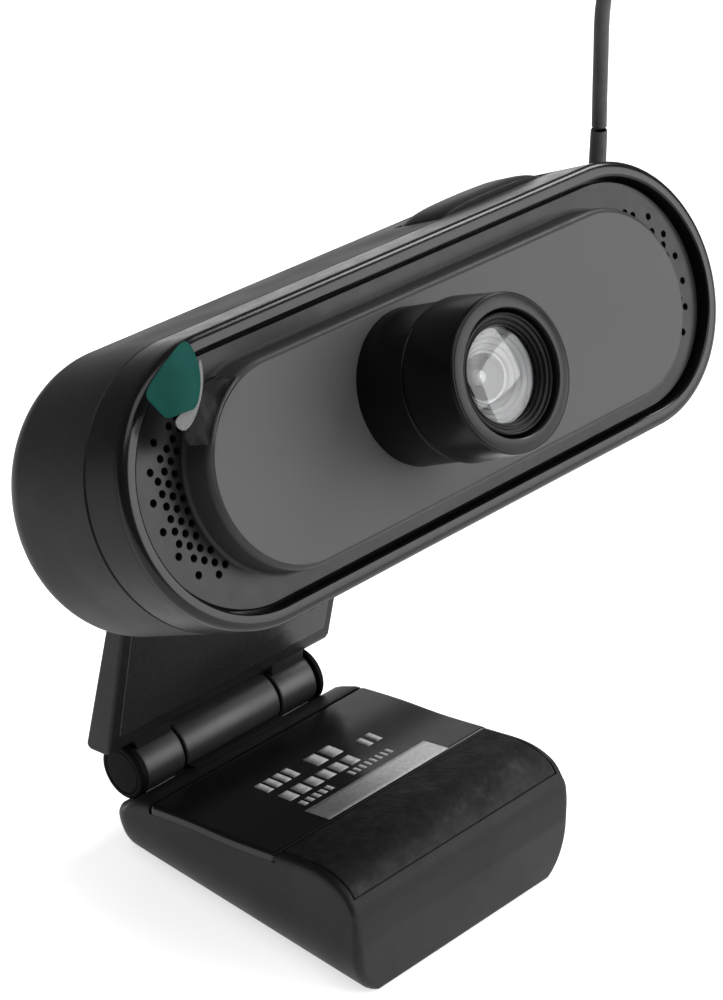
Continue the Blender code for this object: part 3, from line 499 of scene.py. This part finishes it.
def make_barrel_optics(satin, glass, pale, dark):
    """The stepped barrel mouth and, behind its glass, pale ridged rings, a dark throat and a rear element
    whose pale grey is a painted highlight.
    """
    steps = [(7.6, -1.0), (7.6, -20.0), (7.45, -20.1), (7.3, -20.0), (7.3, -19.7), (6.95, -19.7),
             (6.85, -19.8), (6.75, -19.7), (6.75, -19.35), (6.5, -19.35), (6.42, -19.45), (6.3, -19.35),
             (6.3, -18.9), (6.05, -18.9), (6.05, -18.3), (6.4, -18.3), (6.4, -1.0)]
    barrel = swept("lens_barrel_tube", steps, LENS_PLACE, satin, closed=True, sharp=25)
    link(barrel, "lens", "lens_barrel", "lens_retainer", slot="satin_black")
    front = [(6.3, -17.8), *dome(6.3, -18.5, 1.0, 2, range(88, 0, -6)), (0.05, -19.5)]
    front_glass = swept("front_lens_dome", front, LENS_PLACE, glass, count=96)
    link(front_glass, "lens", "front_lens", slot="lens_glass")
    ridges = []
    for radius, depth in ((5.95, -17.7), (5.35, -17.3), (4.65, -16.9), (3.95, -16.5), (3.25, -16.1)):
        ridges += [(radius, depth), (radius - 0.1, depth - 0.12), (radius - 0.22, depth),
                   (radius - 0.3, depth + 0.25)]
    ridges += [(2.7, -15.8), (2.7, -10.5), (5.95, -10.5)]
    rings = swept("pale_rings", ridges, LENS_PLACE, pale, closed=True, count=96, sharp=20)
    link(rings, "lens", slot="satin_black")
    throat = [(2.65, -15.75), (2.3, -15.3), (1.0, -15.2), (1.0, -10.6), (2.65, -10.6)]
    link(swept("dark_throat", throat, LENS_PLACE, dark, closed=True, count=64), "lens", slot="satin_black")
    # The rear element is opaque pale grey in place of glass: a painted highlight in the pupil.
    rear = [(0.95, -15.1), *dome(0.95, -15.1, 0.5, 1, range(84, 0, -12)), (0.03, -15.6)]
    link(swept("rear_element", rear, LENS_PLACE, pale, count=64), "lens", "rear_lens", slot="lens_glass")


def make_rear_shell(look):
    """Cup behind the seam: a narrow rebate at the seam, a large soft rear edge, and a hole for the button."""
    outer, wall, rear = END_RADIUS, 1.8, HEAD_DEPTH
    profile = [(outer - 0.35, 7.55), (outer - 0.35, 7.8), (outer, 8.05), (outer, rear - 5),
               *corner((outer - 5, rear - 5), 5, 0, 90, 14), (8.0, rear)]
    inside = [(8.0, rear - wall), *corner((outer - 5, rear - 5), 5 - wall, 90, 0, 8), (outer - wall, 7.55)]
    shell = swept("rear_shell_cup", profile + inside, HEAD_PLACE, look, SIDE, closed=True)
    opening = [(8.6, 14.0), (18.0, 14.0), (18.0, 22.0), (8.6, 22.0)]
    cut(shell, slab("button_opening", opening, 15.0, 37.0, HEAD_PLACE, look))
    link(shell, "head", "rear_shell", slot="satin_black")
    back = swept("rear_shell_back", [(8.2, rear), (8.2, rear - wall)], HEAD_PLACE, look, SIDE)
    link(back, "head", slot="satin_black")
    make_button(look)


def make_button(look):
    """Crowned rocker-shaped key on the top edge: its top follows a shallow arch across and along."""
    left, right, front, back, low, top = 15.35, 36.65, 8.95, 17.65, 15.8, 20.15
    shape = bmesh.new()
    across, along = 24, 12
    grid = []
    for i in range(across + 1):
        u = 2 * i / across - 1
        row = []
        for j in range(along + 1):
            v = 2 * j / along - 1
            drop = 0.95 * abs(u) ** 6 + 0.6 * abs(v) ** 4 + 0.35 * u * u
            x = (left + right) / 2 + u * (right - left) / 2
            y = (front + back) / 2 + v * (back - front) / 2
            row.append(shape.verts.new((x * MM, y * MM, (top - drop) * MM)))
        grid.append(row)
    for i in range(across):
        for j in range(along):
            shape.faces.new((grid[i][j], grid[i + 1][j], grid[i + 1][j + 1], grid[i][j + 1]))
    rim = [row[0] for row in grid] + grid[-1][1:]
    rim += [row[-1] for row in reversed(grid[:-1])] + grid[0][-2:0:-1]
    base = [shape.verts.new((v.co.x, v.co.y, low * MM)) for v in rim]
    for i in range(len(rim)):
        j = (i + 1) % len(rim)
        shape.faces.new((rim[i], base[i], base[j], rim[j]))
    shape.faces.new(base)
    made = object_from("shutter_button", shape, HEAD_PLACE, look, 50)
    round_edges(made, 0.3, 2, 50)
    link(made, "button", "button_cap", slot="satin_black")


def sheet_from_grid(name, rows, thickness, look, *nodes):
    """A thin sheet on the head through rows of points in the head's millimetres."""
    shape = bmesh.new()
    verts = [[shape.verts.new(Vector(p) * MM) for p in row] for row in rows]
    for one, two in zip(verts, verts[1:]):
        for i in range(len(one) - 1):
            shape.faces.new((one[i], one[i + 1], two[i + 1], two[i]))
    made = object_from(name, shape, HEAD_PLACE, look, 60)
    thick = made.modifiers.new("thickness", "SOLIDIFY")
    thick.thickness = thickness * MM
    thick.offset = 0
    soft = made.modifiers.new("soft", "SUBSURF")
    soft.levels = soft.render_levels = 2
    link(made, "head", *nodes)


def at_depths(places, depths):
    """Joins (x, z) places on the face with their depths."""
    return [(x, y, z) for (x, z), y in zip(places, depths)]


def make_film_flap(film_look, tab_look, edge_look):
    """The film's lifted corner with its creases, and the coloured pull tab stuck over its end."""
    columns, reach = 5, PANEL_RADIUS - 0.1
    angles = [math.radians(111 + 10.5 * k) for k in range(columns)]
    edge = [(reach * math.cos(a) - PANEL_SIDE, reach * math.sin(a)) for a in angles]
    flap = [at_depths(edge, [PANEL_FRONT - 0.2] * columns)]
    for across in range(1, 5):
        places = [(x - 1.2 * across, z + 0.42 * across) for x, z in edge]
        flap.append(at_depths(places, [-5.0 if (across + k) % 2 else -3.8 for k in range(columns)]))
    sheet_from_grid("film_flap", flap, 0.12, film_look, "film_pull_tab")
    fold = [at_depths([(x - shift, z + 0.4 * shift) for x, z in edge], [depth] * columns)
            for shift, depth in ((-0.25, -3.45), (0.1, -3.9), (0.45, -4.5))]
    sheet_from_grid("film_fold", fold, 0.14, edge_look)
    depths = (-5.0, -5.2, -5.1, -4.7)
    tab = [((-41.9, 20.1), (-44.8, 18.8), (-47.6, 17.4), (-50.8, 15.4)),
           ((-41.2, 16.8), (-44.1, 16.3), (-46.9, 15.4), (-49.9, 14.0)),
           ((-41.9, 13.8), (-44.5, 13.7), (-46.8, 13.3), (-49.2, 12.6)),
           ((-43.9, 11.1), (-45.4, 11.4), (-46.9, 11.5), (-48.4, 11.4))]
    sheet_from_grid("pull_tab", [at_depths(row, depths) for row in tab], 0.14, tab_look)
    margin = [((-40.7, 16.9), (-41.3, 14.2), (-43.1, 11.4), (-46.6, 8.2)),
              ((-41.3, 16.6), (-42.1, 14.0), (-44.3, 11.7), (-48.5, 11.5))]
    rows = [at_depths(row, (-4.8, -4.9, -4.9, -4.7)) for row in margin]
    sheet_from_grid("tab_margin", rows, 0.1, edge_look)


# ---------------------------------------------------------------- neck and foot

BARREL_RADIUS, BORE_RADIUS = 4.2, 1.9
NECK_HALF, COVER_HALF = 22.9, 21.2
KNUCKLE_INNER, KNUCKLE_OUTER = 10.1, 17.7


def neck_front(z):
    """Depth of the neck's front face at a height; the neck leans forward and thins towards its top."""
    return -2.0 - 0.1907 * (z - 19.7)


def neck_back(z):
    return 3.7 - 0.2525 * (z - 17.0)


def make_barrel(name, low, high, look):
    """A length of the hinge barrel along x, with rounded ends."""
    turn = STAND_PLACE @ Matrix.Translation((0, 0, HINGE.z)) @ Matrix.Rotation(math.pi / 2, 4, "Z")
    bevel = 0.35
    flat = BARREL_RADIUS - bevel
    profile = [(BORE_RADIUS, -high), (flat, -high), *corner((flat, -high + bevel), bevel, -90, 0, 4)[1:],
               *corner((flat, -low - bevel), bevel, 0, 90, 4), (BORE_RADIUS, -low)]
    return swept(name, profile, turn, look, closed=True, count=72)


def make_neck(satin, gloss, cap_look, hinge):
    """The leaf with its inset cover, two hinge knuckles with webs and caps, and the tilt arm."""
    chin = neck_front(18.8)
    leaf = [(chin, 18.8), (chin + 0.5, 17.9), (chin + 1.4, 17.4), (2.4, 17.0), (3.3, 17.2),
            (neck_back(18.0), 18.0), (neck_back(60), 60), (neck_front(60), 60)]
    frame_piece = slab("neck_leaf", leaf, -NECK_HALF, NECK_HALF, STAND_PLACE, satin, bevel=0.6)
    link(frame_piece, "neck", "neck_frame", slot="satin_black")
    web = [(-1.8, 12.4), (3.2, 12.4), (2.8, 19.5), (-1.4, 19.5)]
    for side, sign in (("left", -1), ("right", 1)):
        low, high = sorted((sign * KNUCKLE_INNER, sign * KNUCKLE_OUTER))
        link(make_barrel(f"neck_knuckle_{side}", low, high, hinge), "neck", slot="satin_black")
        knuckle_web = slab(f"neck_web_{side}", web, low + 0.3, high - 0.3, STAND_PLACE, satin, bevel=0.3)
        link(knuckle_web, "neck", slot="satin_black")
        make_cap(side, sign, cap_look)
    low, high = 20.6, 58
    cover = [(neck_front(low) - 0.12, low), (neck_front(low) + 0.8, low), (neck_front(high) + 0.8, high),
             (neck_front(high) - 0.12, high)]
    face = slab("neck_face", cover, -COVER_HALF, COVER_HALF, STAND_PLACE, gloss, bevel=0.25)
    link(face, "neck", "neck_cover", slot="gloss_black")
    link(make_tilt_knuckle(satin), "neck", slot="satin_black")


def make_tilt_knuckle(look):
    """The arm and round knuckle that reach forward between the bracket's lugs."""
    y, z, radius = -17.0, 63.0, 4.5
    angles = [math.radians(a) for a in range(60, 246, 9)]
    round_part = [(y + radius * math.cos(a), z + radius * math.sin(a)) for a in angles]
    points = [(neck_front(47) + 1.2, 47.0), (neck_front(59) + 1.2, 59.0), *round_part]
    return slab("tilt_arm", points, -10.1, 10.1, STAND_PLACE, look, bevel=0.4)


def make_cap(side, sign, look):
    """Domed cap on one end of the hinge barrel, with a shallow ring in its face."""
    turn = STAND_PLACE @ Matrix.Translation((0, 0, HINGE.z)) @ Matrix.Rotation(-sign * math.pi / 2, 4, "Z")
    profile = [(4.4, 17.9), (4.6, 18.05), *corner((3.85, 18.4), 0.75, 0, 90, 6), (3.65, 19.15), (3.5, 19.0),
               (3.35, 19.1), (3.1, 19.12), (0.05, 19.15)]
    link(swept(f"hinge_cap_{side}_dome", profile, turn, look, count=72), "neck", f"hinge_cap_{side}",
         slot="gloss_black")


# Half the foot's width at its widest and at its sole, and the height where it is widest.
FOOT_HALF, FOOT_BOTTOM_HALF, FOOT_CREASE = 22.3, 17.0, 8.5
# The top from the hinge to the front, as (y, height).
FOOT_TOP = ((-8.6, 12.6), (-17.7, 14.4), (-27.0, 15.8), (-36.4, 17.7), (-43.6, 19.0), (-48.2, 18.3),
            (-50.4, 16.2), (-51.4, 14.0), (-52.0, 9.6))
FOOT_FRONT = FOOT_TOP[-1][0]
FRONT_CORNER, SHOULDER, SOLE_EDGE = 1.3, 1.0, 0.9
TOP_CURVE = smooth_curve([(*point, 0) for point in FOOT_TOP], 10)
# The rear lip under the hinge, as (y, top, underside).
REAR_LIP = ((-0.2, 5.9, 5.0), (-0.45, 6.9, 4.4), (-0.8, 7.75, 3.6), (-1.3, 7.88, 3.15), (-1.8, 8.05, 2.85),
            (-2.65, 8.5, 2.4), (-3.4, 9.2, 2.25), (-4.0, 9.9, 2.1), (-4.5, 10.6, 2.0), (-5.2, 11.0, 1.9),
            (-5.9, 11.4, 0.95), (-6.6, 11.7, 0.0))
REAR_END, REAR_CORNER = -0.2, 3.8


def foot_top(y):
    """Height of the foot's top at y."""
    for back, front in zip(TOP_CURVE, TOP_CURVE[1:]):
        if front.x <= y <= back.x:
            return back.y + (front.y - back.y) * (y - back.x) / (front.x - back.x)
    return TOP_CURVE[-1].y


def rounding(distance, radius):
    """How far a rounded edge stands back from the corner, at a distance from that corner."""
    return 0.0 if distance >= radius else radius - math.sqrt(max(0.0, radius ** 2 - (radius - distance) ** 2))


def foot_section(top, bottom, inset, levels=22):
    """Right half of the foot's cross-section, from the sole up: curved flank, then a rounded shoulder."""
    points = []
    for k in range(levels + 1):
        z = bottom + (top - bottom) * (1 - math.cos(math.pi * k / levels)) / 2
        low = max(0.0, 1 - z / FOOT_CREASE)
        half = FOOT_BOTTOM_HALF + (FOOT_HALF - FOOT_BOTTOM_HALF) * math.sqrt(1 - low * low)
        points.append((half - inset - rounding(top - z, SHOULDER), z))
    return points


def make_foot_body(look):
    """The body as sections from the rear lip to the front face, where all edges round off."""
    stations = list(REAR_LIP) + [(p.x, p.y, rounding(p.x - FOOT_FRONT, SOLE_EDGE)) for p in TOP_CURVE]
    shape = bmesh.new()
    rings = []
    for y, top, bottom in stations:
        inset = rounding(y - FOOT_FRONT, FRONT_CORNER) + rounding(REAR_END - y, REAR_CORNER)
        right = foot_section(top, bottom, inset)
        loop = right + [(-x, z) for x, z in reversed(right)]
        rings.append([shape.verts.new((x * MM, y * MM, z * MM)) for x, z in loop])
    count = len(rings[0])
    for one, two in zip(rings, rings[1:]):
        for i in range(count):
            shape.faces.new((one[i], one[(i + 1) % count], two[(i + 1) % count], two[i]))
    shape.faces.new(rings[0])
    shape.faces.new(rings[-1])
    return object_from("foot_body", shape, STAND_PLACE, look, 32)


def band(back, front, over, under, steps=24):
    """Side outline of a strip that follows the foot's top, from over it to under it."""
    ys = [back + (front - back) * i / steps for i in range(steps + 1)]
    return [(y, foot_top(y) + over) for y in ys] + [(y, foot_top(y) - under) for y in reversed(ys)]


def foot_strip(name, outline_points, margin, look, bevel=0.0):
    """A slab across the foot that stops short of its widest part by the margin on each side."""
    return slab(name, outline_points, -FOOT_HALF + margin, FOOT_HALF - margin, STAND_PLACE, look, bevel)


def make_foot(satin, gloss, hinge, pad_look, print_look):
    """The body with its middle knuckle, the deck and grip pad let into its top, and the label."""
    body = make_foot_body(satin)
    cut(body, foot_strip("cover_room", band(-9.4, -35.7, 3, 1.5), -1, satin))
    cut(body, foot_strip("pad_room", band(-36.1, -50.1, 2, 1.8), 1.1, satin))
    link(body, "foot", "foot_shell", slot="satin_black")
    link(make_barrel("foot_knuckle", -9.75, 9.75, hinge), "foot", slot="satin_black")
    web = [(-12, 11.6), (-12, 6.0), (-2, 5.6), (0, 8.6), (0, 10.2), (-4.4, 11.0), (-8.6, 12.3)]
    link(slab("foot_web", web, -9.6, 9.6, STAND_PLACE, satin, bevel=0.3), "foot", slot="satin_black")
    deck = foot_strip("foot_deck", band(-9.5, -35.6, 0, 2.4), 0.03, gloss, bevel=0.7)
    link(deck, "foot", "foot_cover", slot="gloss_black")
    pad = foot_strip("grip_pad", band(-36.2, -49.95, 0.14, 1.6), 1.25, pad_look, bevel=0.45)
    link(pad, "foot", "foot_pad", slot="rubber")
    make_label(print_look)


# Rows of printed marks, as (left, right, back, front, how many pieces, share of each piece that is printed).
MARK_ROWS = ((-10.2, -3.0, -18.9, -21.9, 4, 0.72), (-0.4, 5.8, -19.2, -22.4, 2, 0.74),
             (8.2, 12.0, -21.6, -24.4, 2, 0.62), (-10.0, 5.2, -23.7, -26.4, 6, 0.76),
             (-9.8, -3.2, -27.6, -29.1, 5, 0.66), (0.6, 9.6, -27.2, -28.7, 8, 0.6))
LIGHT_STRIP = (-11.0, 13.9, -30.3, -35.3)


def make_label(print_look):
    """Rows of plain printed bars and a light strip, all following the deck."""
    bars = [LIGHT_STRIP]
    for left, right, back, front, pieces, share in MARK_ROWS:
        step = (right - left) / pieces
        bars += [(left + step * k, left + step * (k + share), back, front) for k in range(pieces)]
    joined = bmesh.new()
    lift, cuts = 0.03, 6
    for left, right, back, front in bars:
        for i in range(cuts):
            y0 = back + (front - back) * i / cuts
            y1 = back + (front - back) * (i + 1) / cuts
            corners = [(left, y0), (right, y0), (right, y1), (left, y1)]
            verts = [joined.verts.new((x * MM, y * MM, (foot_top(y) + lift) * MM)) for x, y in corners]
            joined.faces.new(verts)
    bmesh.ops.remove_doubles(joined, verts=joined.verts[:], dist=1e-7)
    made = object_from("label_bars", joined, STAND_PLACE, print_look)
    thick = made.modifiers.new("thickness", "SOLIDIFY")
    thick.thickness = lift * MM
    link(made, "foot", "foot_label", slot="label_print")


# ---------------------------------------------------------------- stage

def make_stage():
    """A pale floor just under the object, and an even white world."""
    shape = bmesh.new()
    bmesh.ops.create_grid(shape, x_segments=1, y_segments=1, size=3.0)
    look = Look("pale_floor", (0.86, 0.86, 0.86), 0.6, Specular_IOR_Level=0.2)
    look.vary("Base Color", look.noise(3, 2), (0.3, 0.85), (0.7, 0.87))
    look.shader.inputs["Emission Color"].default_value = (1, 1, 1, 1)
    look.shader.inputs["Emission Strength"].default_value = 0.68
    floor = object_from("floor", shape, Matrix.Translation((0, 0, -0.00005)), look.material)
    world = bpy.data.worlds.new("studio")
    world.use_nodes = True
    world.node_tree.nodes["Background"].inputs["Color"].default_value = (1, 1, 1, 1)
    world.node_tree.nodes["Background"].inputs["Strength"].default_value = 0.14
    bpy.context.scene.world = world
    bpy.context.scene.view_settings.view_transform = "Standard"


def area_light(name, place, aim, size, power):
    """A softbox aimed at a point: places and sizes in metres, power in watts."""
    data = bpy.data.lights.new(name, "AREA")
    data.shape = "RECTANGLE"
    data.size, data.size_y = size
    data.energy = power
    lamp = bpy.data.objects.new(name, data)
    bpy.context.scene.collection.objects.link(lamp)
    lamp.location = place
    lamp.rotation_euler = (Vector(aim) - Vector(place)).to_track_quat("-Z", "Y").to_euler()


def make_lights():
    aim = (0, -0.01, 0.06)
    area_light("front_softbox", (0.66, -0.98, 0.5), aim, (1.0, 0.8), 14)
    area_light("top_softbox", (-0.25, -0.3, 1.1), aim, (0.9, 0.7), 6)
    area_light("right_softbox", (0.8, 0.05, 0.85), aim, (0.4, 0.4), 7.0)
    area_light("rear_softbox", (0.9, 1.05, 0.36), aim, (0.5, 0.3), 0.5)


def finish_cad_nodes(looks):
    """The CAD pieces that stay as they are get the finished materials of their slots."""
    slots = {entry["node"]: entry["material_slot"] for entry in frame["record"]["subparts"]}
    for node, made in frame["nodes"].items():
        for index in range(max(1, len(made.material_slots))):
            if not made.material_slots:
                made.data.materials.append(looks[slots[node]])
            made.material_slots[index].material = looks[slots[node]]


def make_looks():
    """Every material, by the name used for it in this script."""
    looks = {
        "gloss": gloss_plastic("gloss_black", 0.004, 0.2, 0.25),
        # A darker, duller copy of the gloss black: painted shade on the bezel's side band, the lens collar
        # and the focus ring.
        "shaded_gloss": gloss_plastic("gloss_black_shaded", 0.003, 0.3, 0.12),
        "neck": gloss_plastic("neck_gloss", 0.016, 0.26, 0.3),
        "plate": gloss_plastic("plate_black", 0.01, 0.3, 0.2),
        # Lighter than the satin black of the same plastic: painted highlight on the hinge barrel.
        "hinge": satin_plastic("hinge_painted_highlight", 0.022, 0.44, shine=0.5),
        # Darker and duller than the caps' gloss black: painted shade.
        "cap": satin_plastic("cap_painted_shade", 0.004, 0.6, shine=0.05),
        # Lighter grey than the gloss black: painted sheen on the raised panel.
        "panel": gloss_plastic("panel_painted_sheen", 0.03, 0.4, 0.15),
        "satin": satin_plastic("satin_black", 0.008, 0.48),
        "cable": satin_plastic("cable_sheath", 0.06, 0.45, 1500),
        "pad": rubber("pad_rubber", 0.009),
        # The film's nearly opaque grey is painted sheen over the panel.
        "film": clear_plastic("film_painted_sheen", 0.085, 0.9, 0.48, 0.000001, 0.1),
        "flap": creased_film("film_crinkled"),
        "fold": clear_plastic("film_fold", 0.2, 0.5, 0.3, 0.00002, 0.15),
        "steel": metal("plated_steel", (0.55, 0.55, 0.57), 0.3),
        "brass": metal("brass_metal", (0.55, 0.38, 0.13), 0.35),
        "board": gloss_plastic("board_green", 0.03, 0.4),
        "dark": satin_plastic("grille_cloth", 0.003, 0.8),
    }
    tab = Look("teal_tab", (0.004, 0.045, 0.036), 0.45, Specular_IOR_Level=0.03)
    tab.vary("Base Color", tab.noise(140, 4), (0.3, (0.003, 0.036, 0.029)), (0.7, (0.006, 0.056, 0.046)))
    glass = Look("coated_glass", (0.95, 0.96, 0.97), 0.03, Transmission_Weight=1.0, IOR=1.45)
    glass.vary("Roughness", glass.noise(400, 3), (0.4, 0.02), (0.7, 0.05))
    # Pale grey of the inner rings, and on the rear element a painted highlight.
    pale = Look("pale_rings_and_painted_highlight", (0.22, 0.22, 0.22), 0.3)
    pale.vary("Base Color", pale.noise(500, 3), (0.3, 0.17), (0.7, 0.26))
    ink = Look("label_print", (0.4, 0.4, 0.4), 0.5, Specular_IOR_Level=0.2)
    ink.vary("Base Color", ink.noise(1500, 4), (0.3, 0.36), (0.7, 0.5))
    looks.update(tab=tab.material, glass=glass.material, pale=pale.material, ink=ink.material)
    return looks


def main():
    make_camera()
    looks = make_looks()
    gloss, satin, plate, dark = looks["gloss"], looks["satin"], looks["plate"], looks["dark"]
    make_cord(looks["cable"])
    make_cable_sleeve(looks["cable"])
    make_bezel(gloss, looks["shaded_gloss"])
    make_plate(plate, looks["panel"], looks["film"], dark)
    make_lens(looks["shaded_gloss"], plate, satin, looks["glass"], looks["pale"], dark)
    make_rear_shell(satin)
    make_film_flap(looks["flap"], looks["tab"], looks["fold"])
    make_neck(satin, looks["neck"], looks["cap"], looks["hinge"])
    make_foot(satin, gloss, looks["hinge"], looks["pad"], looks["ink"])
    finish_cad_nodes({"gloss_black": gloss, "satin_black": satin, "clear_film": looks["film"],
                      "tab_green": looks["tab"], "lens_glass": looks["glass"], "rubber": looks["pad"],
                      "steel": looks["steel"], "board_green": looks["board"], "sensor_dark": dark,
                      "label_print": looks["ink"], "brass": looks["brass"], "cable_pvc": looks["cable"]})
    make_stage()
    make_lights()


main()
